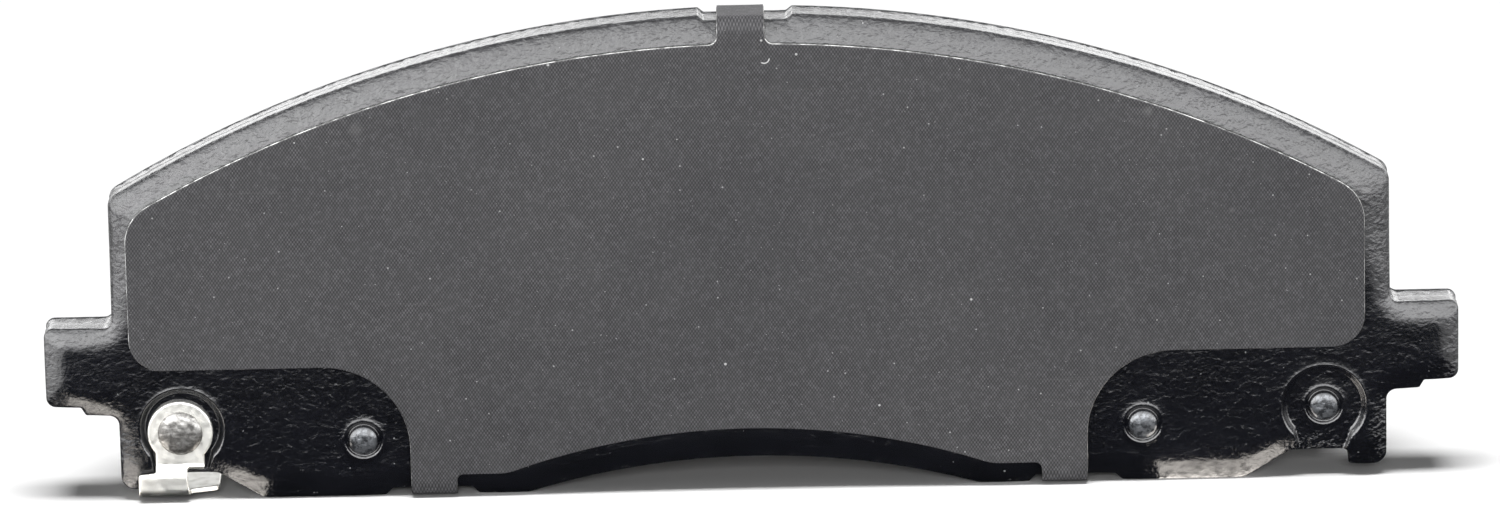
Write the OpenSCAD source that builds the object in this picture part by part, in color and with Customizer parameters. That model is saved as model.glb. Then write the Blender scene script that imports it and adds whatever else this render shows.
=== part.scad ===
// Front disc brake pad with a clip-on noise shim and a wear indicator.
// The pad stands on its lower edge: X runs along the pad, Y through its
// thickness (the shim and caliper piston are on the -Y side, the rotor on the
// +Y side) and Z points away from the wheel's axle.
// The origin is under the middle of the pad, on the plane that it stands on.

/* [Backing plate] */
// Thickness of the steel backing plate
plate_t = 6.5; // [6:0.1:7]
// Radius of the outer edge
outer_r = 164.3; // [160:0.1:168]
// Height of the outer edge above the lower edge, at the middle
plate_h = 65.3; // [64:0.1:66.5]
// Half width between the two shoulder sides
shoulder_x = 84.9; // [84.5:0.1:85.5]
// Radius of the arch in the lower edge
arch_r = 105; // [100:0.5:110]
// Height of the arch at the middle
arch_h = 4.4; // [4:0.1:4.8]
// Radius rounded on the tab seats' edges
seat_round = 1.0; // [0.8:0.1:1.1]

/* [Ears] */
// Half width over the ears
ear_x = 94; // [92:0.1:95]
// Height of the ears' upper faces
ear_top = 24.1; // [23:0.1:25]
// Height of the ears' lower faces
ear_bottom = 13.4; // [13:0.1:14]

/* [Studs and recesses] */
// Distance of the two recesses from the middle
recess_x = 76.05; // [75.8:0.05:76.3]
// Height of the recesses' centres
recess_z = 10.0; // [9.9:0.05:10.2]
// Radius of a recess at the plate's face
recess_r = 5.64; // [5.5:0.02:5.7]
// Depth of a recess
recess_depth = 0.9; // [0.8:0.05:1]
// Distance of the two outer studs from the middle
stud_x = 51.9; // [51.5:0.1:52.3]
// Height of the two outer studs
stud_z = 8.1; // [7.9:0.1:8.4]
// Radius of a half-pierced stud
stud_r = 2.0; // [1.9:0.05:2.1]
// How far a stud stands out of its face
stud_h = 0.8; // [0.6:0.05:0.85]

/* [Friction block] */
// Thickness of the friction lining
lining_t = 10; // [9:0.5:11]
// Thickness of the underlayer between the plate and the lining
underlayer_t = 1.9; // [1.5:0.1:2.2]
// Thickness of the bonding adhesive on the plate
bond_t = 0.1; // [0.1:0.05:0.2]
// How far the block's outline lies inside the shim's outline
block_inset = 1.0; // [0.8:0.1:1.4]
// Width of the slot in the middle of the lining
slot_w = 3.2; // [2.6:0.1:3.8]
// Depth of the slot
slot_depth = 8; // [7:0.5:8.5]
// Length of the chamfer at each end of the lining
chamfer_l = 14; // [10:1:16]
// Depth of the chamfer at each end of the lining
chamfer_d = 6; // [4:0.5:7]

/* [Noise shim] */
// Thickness of the shim's steel core
core_t = 0.5; // [0.4:0.05:0.55]
// Thickness of the textured outer coating
outer_coat_t = 0.2; // [0.15:0.05:0.25]
// Thickness of the rubber inner coating
inner_coat_t = 0.1; // [0.1:0.05:0.15]
// Thickness of the adhesive layer on the plate
glue_t = 0.1; // [0.1:0.05:0.15]
// Sideways offset of the fitted shim on the plate
shim_shift = -0.6; // [-0.8:0.1:-0.3]
// Half width of the shim
shim_x = 82.05; // [81.8:0.05:82.1]
// How far the shim's upper edge lies inside the plate's
shim_edge = 3.3; // [3.2:0.1:3.5]
// Width of the clip tabs
tab_w = 6.3; // [6:0.1:6.6]
// Length of the hooks behind the plate
hook_l = 2.0; // [1.7:0.1:2.2]

/* [Wear indicator] */
// Thickness of the indicator's spring steel
reed_t = 0.7; // [0.6:0.05:0.7]
// Radius of the indicator's eye
eye_r = 4.35; // [4.2:0.05:4.4]
// Distance of the reed's tip from the plate's shim side
reed_reach = 15.5; // [14.5:0.1:16]
// Radius of the rivet's shank
rivet_r = 1.6; // [1.4:0.05:1.6]
// Radius of the rivet's head
rivet_head_r = 3.03; // [2.9:0.01:3.1]

/* [Hidden] */
$fn = 96;

shim_t = glue_t + inner_coat_t + core_t + outer_coat_t;
pad_t = shim_t + plate_t + bond_t + underlayer_t + lining_t;
yf = -pad_t / 2 + shim_t;          // the plate's face on the shim side
yb = yf + plate_t;                 // the plate's face on the rotor side
zc = plate_h - outer_r;            // centre height of the outer edge
arch_zc = arch_h - arch_r;         // centre height of the arch
top_seat = plate_h - 0.75;         // the seat of the upper clip tab
low_seat = 1.0;                    // the seats of the lower clip tabs
tab_x = 42.1;                      // centres of the lower tabs, from the shim's middle
rivet_x = -76.3;
rivet_z = 9.5;
hole_r = rivet_r + 0.05;

// ---- outlines -----------------------------------------------------------

function unit(v) = v / norm(v);
function turn(a, b, c) = (b[0] - a[0]) * (c[1] - b[1]) - (b[1] - a[1]) * (c[0] - b[0]);
// The points that round one corner b, between a and c, to radius r
function corner(a, b, c, r) = r < 0.01 ? [b] :
    let (u = unit(a - b), v = unit(c - b), th = acos(u * v),
         m = b + unit(u + v) * r / sin(th / 2), t = r / tan(th / 2),
         p = b + u * t - m, s = turn(a, b, c) > 0 ? 1 : -1,
         n = max(2, ceil((180 - th) / 15)))
    [for (i = [0:n]) let (w = s * (180 - th) * i / n)
        m + [p[0] * cos(w) - p[1] * sin(w), p[0] * sin(w) + p[1] * cos(w)]];
// An outline from points [x, z, corner radius]
function rounded(q) = let (n = len(q))
    [for (i = [0:n - 1]) let (a = q[(i + n - 1) % n], b = q[i], c = q[(i + 1) % n])
        each corner([a[0], a[1]], [b[0], b[1]], [c[0], c[1]], b[2])];
function flip(p) = [for (i = [len(p) - 1:-1:0]) [-p[i][0], p[i][1], p[i][2]]];

// The rounded corner where a side at x meets an arc of radius r about [0, c]:
// from the side up to the arc, then straight out past it
function shoulder(x, r, c, f) =
    let (m = [x - f, c + sqrt(pow(r - f, 2) - pow(x - f, 2))],
         out = atan2(m[1] - c, m[0]), n = 8)
    concat([for (i = [0:n]) let (w = out * 0.97 * i / n) m + f * [cos(w), sin(w)]],
           [[(r + 4) * cos(out * 0.999), c + (r + 4) * sin(out * 0.999)]]);
function back(p) = [for (i = [len(p) - 1:-1:0]) p[i]];

// A shape symmetric about X = 0: the lower half outline "low", from its right
// side to the middle, closed above by an arc of radius r about [0, c] whose
// corners at the sides are rounded to f
module arched(low, x, r, c, f) {
    s = shoulder(x, r, c, f);
    intersection() {
        translate([0, c]) circle(r, $fn = 360);
        polygon(concat(rounded(concat(low, flip(low))), [for (p = s) [-p[0], p[1]]],
                       [[-40, r + c + 6], [40, r + c + 6]], back(s)));
    }
}

module along_y(y0, y1) {
    translate([0, y1, 0]) rotate([90, 0, 0]) linear_extrude(y1 - y0) children();
}
module along_x(x0, x1) {
    // children are drawn in [y, z]
    translate([x0, 0, 0]) rotate([90, 0, 90]) linear_extrude(x1 - x0) children();
}

// The lower half of the plate's outline, from the right shoulder to the middle
lower = [
    [shoulder_x, 30, 0], [shoulder_x, ear_top, 1.2], [ear_x, ear_top, 1.4],
    [ear_x, ear_bottom, 1.4], [89.4, ear_bottom, 0.3], [88.8, 12.2, 0.3], [84.4, 12.2, 1.2],
    [84.4, 1.75, 1.6], [79.3, 1.75, 0.4], [79.3, 3.7, 0.5], [71.5, 3.7, 1.2],
    [65.5, 0, 1.5], [49.15, 0, 0.3], [48.2, low_seat, 0.3], [37.6, low_seat, 0.3],
    [36.7, 0, 0.3]
];

module plate_outline() {
    difference() {
        arched(lower, shoulder_x, outer_r, zc, 2);
        translate([0, arch_zc]) circle(arch_r, $fn = 360);
        // Seat of the upper clip tab
        polygon([[-6.15, top_seat + 0.85], [-5.45, top_seat], [5.45, top_seat], [6.15, top_seat + 0.85],
                 [6.15, top_seat + 3], [-6.15, top_seat + 3]]);
    }
}

// Shim and friction block share one outline, drawn d inside the shim's edge
function low_half(d, z_mid) = concat(
    [[shim_x - d, 30, 0], [shim_x - d, 18.5 + d, 4.3 - min(d, 1)]],
    [for (i = [0:8]) let (w = 90 + 90 * i / 8) [56.6 + (11.5 + d) * cos(w), 7 + (11.5 + d) * sin(w), 0]],
    [[45.1 - d, z_mid + d, 0]]);
module body_outline(d) {
    difference() {
        arched(low_half(d, 3.2), shim_x - d, outer_r - shim_edge - d, zc, 6 - min(d, 2));
        translate([0, 8.8 + d - 96]) circle(96, $fn = 360);
    }
}

// ---- backing plate ------------------------------------------------------

// A half-pierced stud with its moat, drawn at the plate's face level y
module stud_moat(x, y, z) {
    translate([x, y, z]) rotate([-90, 0, 0]) translate([0, 0, -1])
        difference() { cylinder(r = stud_r + 0.6, h = 1.25); translate([0, 0, -1]) cylinder(r = stud_r, h = 3); }
}
module stud(x, y, z, h) {
    dome = 0.45;
    big = (stud_r * stud_r + dome * dome) / (2 * dome);
    translate([x, y + 1, z]) rotate([90, 0, 0]) intersection() {
        cylinder(r = stud_r, h = h + 1.5);
        translate([0, 0, h + 1 - big]) sphere(big, $fn = 128);
    }
}
// A spotface that opens down into the notch beside the leg, from mouth0 to mouth1
module recess(x, mouth0, mouth1) {
    translate([x, yf + recess_depth, recess_z]) rotate([90, 0, 0])
        cylinder(r1 = recess_r - 0.7, r2 = recess_r - 0.7 + 0.7 * (recess_depth + 0.5) / recess_depth, h = recess_depth + 0.5);
    along_y(yf - 1, yf + recess_depth)
        polygon([[x - 4.6, recess_z - 2], [mouth0, 3.65], [mouth1, 3.65], [x + 4.6, recess_z - 2]]);
}
// Rounds one edge of a tab seat: the corner at [y, z], into the plate by [sy, sz]
module seat_edge(x, w, y, z, sy, sz, r) {
    along_x(x - w / 2, x + w / 2) difference() {
        translate([y + (sy > 0 ? -1 : -r), z + (sz > 0 ? -1 : -r)]) square([r + 1, r + 1]);
        translate([y + sy * r, z + sz * r]) circle(r);
    }
}

module backing_plate() color([0.07, 0.075, 0.085]) {
    difference() {
        along_y(yf, yb) plate_outline();
        recess(-recess_x, -80.0, -72.6);
        recess(recess_x, 72.6, 79.0);
        stud_moat(-stud_x, yf, stud_z);
        stud_moat(stud_x, yf, stud_z);
        stud_moat(recess_x, yf + recess_depth, recess_z - 0.15);
        // Sockets that the half-piercing punch leaves behind the studs
        for (p = [[-stud_x, stud_z], [stud_x, stud_z], [recess_x, recess_z - 0.15]])
            translate([p[0], yb + 1, p[1]]) rotate([90, 0, 0]) cylinder(r = stud_r - 0.1, h = 2.4);
        // Rivet hole
        translate([rivet_x, yb + 1, rivet_z]) rotate([90, 0, 0]) cylinder(r = hole_r, h = plate_t + 2);
        // Rounded edges under the clip tabs
        seat_edge(0, 10.6, yf, top_seat, 1, -1, seat_round);
        seat_edge(0, 10.6, yb, top_seat, -1, -1, 0.6);
        for (s = [-1, 1]) {
            seat_edge(s * 42.9, 10.2, yf, low_seat, 1, 1, seat_round);
            seat_edge(s * 42.9, 10.2, yb, low_seat, -1, 1, 0.6);
        }
    }
    stud(-stud_x, yf, stud_z, stud_h);
    stud(stud_x, yf, stud_z, stud_h);
    stud(recess_x, yf + recess_depth, recess_z - 0.15, stud_h);
}

// ---- friction block -----------------------------------------------------

module bond_film() color([0.25, 0.2, 0.12])
    along_y(yb, yb + bond_t) body_outline(block_inset + 0.3);

module underlayer() color([0.3, 0.28, 0.26])
    along_y(yb + bond_t, yb + bond_t + underlayer_t) body_outline(block_inset);

module friction_lining() color([0.22, 0.21, 0.21]) {
    y0 = yb + bond_t + underlayer_t;
    y1 = y0 + lining_t;
    x1 = shim_x - block_inset;
    difference() {
        along_y(y0, y1) body_outline(block_inset);
        translate([-slot_w / 2, y1 - slot_depth, -5]) cube([slot_w, slot_depth + 1, 80]);
        for (s = [0, 1]) mirror([s, 0, 0]) translate([0, 0, -5]) linear_extrude(80)
            polygon([[x1 + 1, y1 - chamfer_d - chamfer_d / chamfer_l], [x1 + 1, y1 + 1], [x1 - chamfer_l, y1 + 1],
                     [x1 - chamfer_l, y1], [x1, y1 - chamfer_d]]);
    }
}

// ---- noise shim ---------------------------------------------------------

// One clip tab's section, for the layer from a to b above the plate's surface.
// It is drawn in [y, z] with the seat at z = 0 and the plate below it.
module tab_section(a, b, z_low) {
    r1 = seat_round;
    r2 = 0.6;
    translate([yf - b, z_low]) square([b - a, -r1 - z_low]);
    intersection() {
        translate([yf + r1, -r1]) difference() { circle(r1 + b); circle(r1 + a); }
        translate([yf + r1 - 5, -r1]) square([5, 5]);
    }
    translate([yf + r1, a]) square([plate_t - r1 - r2, b - a]);
    intersection() {
        translate([yb - r2, -r2]) difference() { circle(r2 + b); circle(r2 + a); }
        translate([yb - r2, -r2]) square([5, 5]);
    }
    translate([yb + a, -hook_l]) square([b - a, hook_l - r2]);
}

module shim_layer(a, b, d) {
    translate([shim_shift, 0, 0]) {
        along_y(yf - b, yf - a) body_outline(d);
        along_x(-tab_w / 2 + d, tab_w / 2 - d) translate([0, top_seat]) tab_section(a, b, -4.5);
        for (s = [-1, 1])
            along_x(s * tab_x - tab_w / 2 + (s < 0 ? 0.15 : 0) + d, s * tab_x + tab_w / 2 - (s > 0 ? 0.15 : 0) - d)
                translate([0, low_seat]) mirror([0, 1]) tab_section(a, b, -4);
        // Fillets at the foot of the upper tab
        along_y(yf - b, yf - a) for (s = [-1, 1]) difference() {
            translate([s > 0 ? tab_w / 2 - d - 0.5 : -tab_w / 2 + d - 1.2, outer_r - shim_edge + zc - 1]) square([1.7, 2.2 - d]);
            translate([s * (tab_w / 2 - d + 1.2), outer_r - shim_edge + zc + 1.2 - d]) circle(1.2);
        }
    }
}

module shim_adhesive() color([0.55, 0.52, 0.45])
    translate([shim_shift, 0, 0]) along_y(yf - glue_t, yf) body_outline(0.8);

module shim_inner_coating() color([0.12, 0.12, 0.13])
    shim_layer(glue_t, glue_t + inner_coat_t, 0.1);

module shim_core() color([0.72, 0.72, 0.7])
    shim_layer(glue_t + inner_coat_t, glue_t + inner_coat_t + core_t, 0);

module shim_outer_coating() color([0.31, 0.31, 0.33])
    shim_layer(glue_t + inner_coat_t + core_t, shim_t, 0.05);

// ---- wear indicator -----------------------------------------------------

// The reed's lower bend, drawn in [y, z]
module reed_bend() {
    ri = 0.5;
    y = yf - 0.15 + ri;
    z = 1.45 + ri;
    translate([yf - 0.15 - reed_t, z]) square([reed_t, 3.95 - z]);
    intersection() {
        translate([y, z]) difference() { circle(ri + reed_t); circle(ri); }
        translate([y - 3, z - 3]) square([3, 3]);
    }
}

module wear_indicator() color([0.8, 0.8, 0.77]) difference() {
    union() {
        // Eye and neck, lying in the recess
        along_y(yf + recess_depth - reed_t, yf + recess_depth) {
            translate([rivet_x, rivet_z]) circle(eye_r);
            polygon([[-79.7, rivet_z - 2.2], [-79.7, 4.55], [-73.2, 4.55], [-73.2, rivet_z - 2.2]]);
        }
        // Jog from the recess to the front of the leg
        along_x(-79.7, -75.5) polygon([
            [yf + recess_depth, 4.55], [yf + recess_depth - reed_t, 4.8],
            [yf - 0.15 - reed_t, 3.95], [yf - 0.15, 3.7]]);
        // Front part with its lower bend
        along_x(-82, -75.5) reed_bend();
        // Reed under the plate, towards the rotor
        translate([0, 0, 1.45 - reed_t]) linear_extrude(reed_t) polygon([
            [-82, yf + 0.35], [-75.5, yf + 0.35], [-75.2, yf + 0.6], [-71.4, yf + 2.2],
            [-71.4, yf + 7.5], [-72.6, yf + reed_reach - 1.1], [-80.8, yf + reed_reach - 1.1], [-82, yf + 7.5]]);
        // Tip, curled down to a foot
        along_x(-80.8, -72.6) {
            intersection() {
                translate([yf + reed_reach - 1.1, 1.45 - 1.1]) difference() { circle(1.1); circle(1.1 - reed_t); }
                translate([yf + reed_reach - 1.1, 1.45 - 1.1]) square([3, 3]);
            }
            translate([yf + reed_reach - reed_t, 0]) square([reed_t, 0.35]);
        }
    }
    translate([rivet_x, yf + 5, rivet_z]) rotate([90, 0, 0]) cylinder(r = hole_r, h = 10);
}

module indicator_rivet() color([0.66, 0.66, 0.65]) {
    head_h = 0.85;
    big = (rivet_head_r * rivet_head_r + head_h * head_h) / (2 * head_h);
    y_head = yf + recess_depth - reed_t;
    translate([rivet_x, 0, rivet_z]) difference() {
        union() {
            translate([0, yb + 0.4, 0]) rotate([90, 0, 0]) cylinder(r = rivet_r, h = yb + 0.4 - y_head + 0.3);
            translate([0, y_head, 0]) rotate([90, 0, 0]) intersection() {
                cylinder(r = rivet_head_r - 0.05, h = head_h);
                translate([0, 0, head_h - big]) sphere(big, $fn = 128);
            }
            translate([0, yb + 0.7, 0]) rotate([90, 0, 0]) cylinder(r = 2.7, h = 0.7);
        }
        translate([0, yb + 1, 0]) rotate([90, 0, 0]) cylinder(r = 0.9, h = 2.4);
    }
}

backing_plate();
bond_film();
underlayer();
friction_lining();
shim_adhesive();
shim_inner_coating();
shim_core();
shim_outer_coating();
wear_indicator();
indicator_rivet();
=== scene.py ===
"""A front disc brake pad, seen from its shim side.

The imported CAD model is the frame. Each CAD node is replaced by a finer mesh of the
same piece, built here in millimetres in the same frame and written in metres.
"""

import math

import bpy
import numpy as np
from mathutils import Matrix, Vector
from mathutils.geometry import delaunay_2d_cdt


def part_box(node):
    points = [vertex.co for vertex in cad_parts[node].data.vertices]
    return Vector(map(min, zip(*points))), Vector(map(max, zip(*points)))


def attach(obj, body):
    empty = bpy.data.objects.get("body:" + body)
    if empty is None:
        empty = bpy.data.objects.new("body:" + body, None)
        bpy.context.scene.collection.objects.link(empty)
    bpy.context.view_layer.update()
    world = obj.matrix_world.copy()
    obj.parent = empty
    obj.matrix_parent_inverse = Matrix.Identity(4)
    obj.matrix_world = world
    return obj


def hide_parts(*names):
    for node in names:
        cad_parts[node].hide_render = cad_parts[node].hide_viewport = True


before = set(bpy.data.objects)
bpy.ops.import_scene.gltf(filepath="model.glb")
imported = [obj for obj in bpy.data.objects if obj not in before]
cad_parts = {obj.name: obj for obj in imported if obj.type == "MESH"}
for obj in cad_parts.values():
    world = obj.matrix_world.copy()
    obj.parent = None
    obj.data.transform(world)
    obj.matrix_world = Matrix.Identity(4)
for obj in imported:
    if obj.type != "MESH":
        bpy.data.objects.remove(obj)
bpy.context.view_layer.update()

MM = 0.001
scene = bpy.context.scene
rng = np.random.default_rng(7)

# ---------------------------------------------------------------- positions from the frame
pl_lo, pl_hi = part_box("backing_plate")
co_lo, co_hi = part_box("shim_outer_coating")
li_lo, li_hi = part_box("friction_lining")
un_lo, un_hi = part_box("underlayer")
YB = pl_hi[1] / MM                 # plate's rotor side
PLATE_T = 6.5
YF = YB - PLATE_T                  # plate's shim side
Y_SHIM = co_lo[1] / MM             # shim's front face
Y_UND = un_lo[1] / MM
Y_LIN0 = li_lo[1] / MM
Y_LIN1 = li_hi[1] / MM
SHIM_T = YF - Y_SHIM               # 0.9
GLUE, INNER, CORE = 0.1, 0.1, 0.5
SHIFT = -0.6                       # the shim sits this far to the left on the plate

OUTER_R, PLATE_H = 164.3, 65.3
ZC = PLATE_H - OUTER_R
TOP_SEAT, LOW_SEAT = 64.55, 1.0
SHIM_X, SHIM_EDGE = 82.05, 3.3
RX, RZ = 76.05, 10.0               # spotfaces
RIV = np.array([-76.3, 9.5])
STUDS = [(-51.9, 8.1, 0.0), (51.9, 8.1, 0.0), (76.05, 9.85, 0.9)]
R1, R2, HOOK = 1.0, 0.6, 2.0


# ---------------------------------------------------------------- 2D outlines
def unit(v):
    return v / np.linalg.norm(v)


def rounded(q, closed=True, step=8.0):
    """Points [x, z, radius] to a polyline whose corners are rounded."""
    out, n = [], len(q)
    for i in range(n):
        b = np.array(q[i][:2], float)
        r = q[i][2]
        if r < 0.01 or (not closed and i in (0, n - 1)):
            out.append(b)
            continue
        a, c = np.array(q[i - 1][:2], float), np.array(q[(i + 1) % n][:2], float)
        u, v = unit(a - b), unit(c - b)
        th = math.acos(np.clip(u @ v, -1, 1))
        if th > math.radians(178.5):
            out.append(b)
            continue
        m = b + unit(u + v) * r / math.sin(th / 2)
        p = b + u * r / math.tan(th / 2) - m
        s = 1 if (b - a)[0] * (c - b)[1] - (b - a)[1] * (c - b)[0] > 0 else -1
        k = max(3, math.ceil((180 - math.degrees(th)) / step))
        for j in range(k + 1):
            w = s * (math.pi - th) * j / k
            out.append(m + np.array([p[0] * math.cos(w) - p[1] * math.sin(w), p[0] * math.sin(w) + p[1] * math.cos(w)]))
    return np.array(out)


def resample(p, step, closed=True):
    """Puts points on every long stretch of a polyline and drops points that coincide."""
    out = []
    n = len(p)
    for i in range(n if closed else n - 1):
        a, b = p[i], p[(i + 1) % n]
        d = np.linalg.norm(b - a)
        if d < 1e-5:
            continue
        k = max(1, int(math.ceil(d / step)))
        for j in range(k):
            out.append(a + (b - a) * j / k)
    if not closed:
        out.append(p[-1])
    keep = [out[0]]
    for v in out[1:]:
        if np.linalg.norm(v - keep[-1]) > 0.04:
            keep.append(v)
    if closed and np.linalg.norm(keep[0] - keep[-1]) < 0.04:
        keep.pop()
    return np.array(keep)


def on_arc(x, r, c):
    return c + math.sqrt(r * r - x * x)


def shoulder(x, r, c, f, n=10):
    m = (x - f, c + math.sqrt((r - f) ** 2 - (x - f) ** 2))
    out = math.atan2(m[1] - c, m[0])
    return [(m[0] + f * math.cos(out * i / n), m[1] + f * math.sin(out * i / n), 0) for i in range(n + 1)]


def mirror(q):
    """The right half, listed from the top middle to the bottom middle, closed with its mirror image."""
    left = [(-a, b, r) for a, b, r in q[::-1]]
    return q + [p for p in left if abs(p[0]) > 1e-6]


def plate_outline():
    f = 2.0
    sh = shoulder(84.9, OUTER_R, ZC, f)
    x_end = sh[-1][0]
    q = [(0, TOP_SEAT, 0), (5.45, TOP_SEAT, 0.45), (6.2, on_arc(6.2, OUTER_R, ZC), 0.45)]
    q += [(x, on_arc(x, OUTER_R, ZC), 0) for x in np.linspace(7.6, x_end - 1.2, 60)]
    q += sh[::-1]
    q += [(84.9, 24.1, 1.2), (94, 24.1, 1.25), (94, 13.15, 1.25), (89.4, 13.15, 0.3), (88.8, 11.95, 0.35), (84.4, 11.95, 1.3),
          (84.4, 1.5, 1.7), (79.3, 1.5, 0.5), (79.3, 3.7, 0.6), (71.5, 3.7, 1.4), (65.5, 0, 1.8), (49.15, 0, 0.4),
          (48.2, LOW_SEAT, 0.35), (37.6, LOW_SEAT, 0.35), (36.7, 0, 0.4)]
    xa, ca = 30.08, 4.4 - 105
    q += [(xa, 0, 2.5)]
    q += [(x, on_arc(x, 105, ca), 0) for x in np.linspace(xa - 2.6, 0, 24)]
    return resample(rounded(mirror(q)), 0.55)


def body_pts(d, bottom=3.2):
    """Right half of the shim's body without tabs, d inside the shim's edge: top middle to bottom middle."""
    r = OUTER_R - SHIM_EDGE - d
    sh = shoulder(SHIM_X - d, r, ZC, 6 - min(d, 2))
    top = [(x, on_arc(x, r, ZC), 0) for x in np.linspace(0, sh[-1][0] - 1.0, 60)]
    q = top + sh[::-1] + [(SHIM_X - d, 18.5 + d, 4.3 - min(d, 1))]
    q += [(56.6 + (11.5 + d) * math.cos(w), 7 + (11.5 + d) * math.sin(w), 0) for w in np.radians(np.linspace(90, 180, 18))]
    low = bottom + d
    q += [(45.1 - d, low, 0)]
    ca = 8.8 + d - 96
    xa = math.sqrt(96 ** 2 - (low - ca) ** 2)
    q += [(xa, low, 6.0)]
    q += [(x, on_arc(x, 96, ca), 0) for x in np.linspace(xa - 3.2, 0, 24)]
    return q


def block_outline(d):
    return resample(rounded(mirror(body_pts(d))), 0.9)


# ---------------------------------------------------------------- distances
def seg_distance(pts, loop, closed=True):
    """Distance from each point to a polyline, and the index of its nearest segment."""
    a = loop
    b = np.roll(loop, -1, axis=0) if closed else loop[1:]
    a = a if closed else loop[:-1]
    d = b - a
    dd = (d ** 2).sum(1)
    best = np.full(len(pts), 1e9)
    idx = np.zeros(len(pts), int)
    for s in range(0, len(pts), 1500):
        p = pts[s:s + 1500]
        t = np.clip(((p[:, None, :] - a[None]) * d[None]).sum(2) / dd[None], 0, 1)
        q = ((p[:, None, :] - a[None] - t[..., None] * d[None]) ** 2).sum(2)
        k = q.argmin(1)
        best[s:s + 1500] = np.sqrt(q[np.arange(len(p)), k])
        idx[s:s + 1500] = k
    return best, idx


def inside(pts, loop):
    x, y = pts[:, 0], pts[:, 1]
    a, b = loop, np.roll(loop, -1, axis=0)
    res = np.zeros(len(pts), bool)
    for (x0, y0), (x1, y1) in zip(a, b):
        if y0 == y1:
            continue
        hit = ((y0 > y) != (y1 > y)) & (x < (x1 - x0) * (y - y0) / (y1 - y0) + x0)
        res ^= hit
    return res


def normals_2d(loop):
    """Inward normals of a closed loop."""
    t = np.roll(loop, -1, axis=0) - np.roll(loop, 1, axis=0)
    t /= np.linalg.norm(t, axis=1)[:, None]
    n = np.stack([-t[:, 1], t[:, 0]], 1)
    area = 0.5 * np.sum(loop[:, 0] * np.roll(loop[:, 1], -1) - np.roll(loop[:, 0], -1) * loop[:, 1])
    return n if area > 0 else -n


def inner_points(loop, offsets, grid, width=None, jitter=0.0):
    """Points inside a loop: rings at the given distances (times width along the loop), then a grid beyond the last ring."""
    n2 = normals_2d(loop)
    w = np.ones(len(loop)) if width is None else width
    rings = []
    for o in offsets:
        p = loop + n2 * (o * w)[:, None]
        ok = inside(p, loop)
        p, ow = p[ok], (o * w)[ok]
        d, _ = seg_distance(p, loop)
        rings.append(p[d > ow * 0.93 - 1e-4])
    last = (offsets[-1] * w.max()) if len(offsets) else 0.0
    lo, hi = loop.min(0), loop.max(0)
    gx, gz = np.meshgrid(np.arange(lo[0] + grid / 2, hi[0], grid), np.arange(lo[1] + grid / 2, hi[1], grid))
    gx[1::2] += grid / 2
    g = np.stack([gx.ravel(), gz.ravel()], 1)
    if jitter:
        g += rng.uniform(-jitter, jitter, g.shape)
    g = g[inside(g, loop)]
    d, _ = seg_distance(g, loop)
    g = g[d > last + grid * 0.35]
    return np.concatenate(rings + [g]) if rings else g


def thin_out(p, gap):
    """Drops points closer than gap to an earlier point."""
    seen, keep = {}, []
    inv = 1 / gap
    for i, (x, y) in enumerate(p):
        k = (int(math.floor(x * inv)), int(math.floor(y * inv)))
        bad = False
        for dx in (-1, 0, 1):
            for dy in (-1, 0, 1):
                for j in seen.get((k[0] + dx, k[1] + dy), ()):
                    if (p[j][0] - x) ** 2 + (p[j][1] - y) ** 2 < gap * gap:
                        bad = True
        if not bad:
            seen.setdefault(k, []).append(i)
            keep.append(i)
    return p[keep]


# ---------------------------------------------------------------- mesh making
def make(name, verts, faces, material, sharp=40, uv=False):
    mesh = bpy.data.meshes.new(name)
    mesh.from_pydata([tuple(float(c) * MM for c in v) for v in verts], [], faces)
    mesh.validate()
    mesh.update()
    # outward normals: the signed volume is positive
    co = np.array([v.co for v in mesh.vertices])
    mesh.calc_loop_triangles()
    tri = np.array([t.vertices for t in mesh.loop_triangles])
    vol = np.einsum("ij,ij->i", co[tri[:, 0]], np.cross(co[tri[:, 1]], co[tri[:, 2]])).sum()
    if vol < 0:
        mesh.flip_normals()
    mesh.polygons.foreach_set("use_smooth", [True] * len(mesh.polygons))
    mesh.set_sharp_from_angle(angle=math.radians(sharp))
    o = bpy.data.objects.new(name, mesh)
    scene.collection.objects.link(o)
    o.data.materials.append(material)
    return o


def noise2(p, scale, seed=0, octaves=3):
    """Smooth repeatable noise in about -1..1 at 2D or 3D points, from sums of sines."""
    r = np.random.default_rng(seed)
    p = np.asarray(p, float) / scale
    out, amp, tot = np.zeros(len(p)), 1.0, 0.0
    for o in range(octaves):
        for _ in range(5):
            k = r.normal(size=p.shape[1])
            k = k / np.linalg.norm(k) * r.uniform(0.7, 1.3) * 2 * math.pi * 2 ** o
            out += amp * np.sin(p @ k + r.uniform(0, 6.28)) / 5 ** 0.5
        tot += amp
        amp *= 0.55
    return out / tot


def circle(c, r, n):
    a = np.arange(n) * 2 * math.pi / n
    return np.stack([c[0] + r * np.cos(a), c[1] + r * np.sin(a)], 1)


# ---------------------------------------------------------------- materials
def material(name):
    m = bpy.data.materials.new(name)
    m.use_nodes = True
    nt = m.node_tree
    return m, nt, nt.nodes["Principled BSDF"]


def coords(nt, scale=1000.0):
    """Object coordinates in millimetres."""
    tc = nt.nodes.new("ShaderNodeTexCoord")
    mp = nt.nodes.new("ShaderNodeMapping")
    mp.inputs["Scale"].default_value = (scale, scale, scale) if not hasattr(scale, "__len__") else scale
    nt.links.new(tc.outputs["Object"], mp.inputs["Vector"])
    return mp.outputs["Vector"]


def noise(nt, vec, scale, detail=3.0, rough=0.55, distortion=0.0):
    n = nt.nodes.new("ShaderNodeTexNoise")
    n.inputs["Scale"].default_value = scale
    n.inputs["Detail"].default_value = detail
    n.inputs["Roughness"].default_value = rough
    n.inputs["Distortion"].default_value = distortion
    nt.links.new(vec, n.inputs["Vector"])
    return n.outputs["Fac"]


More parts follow.
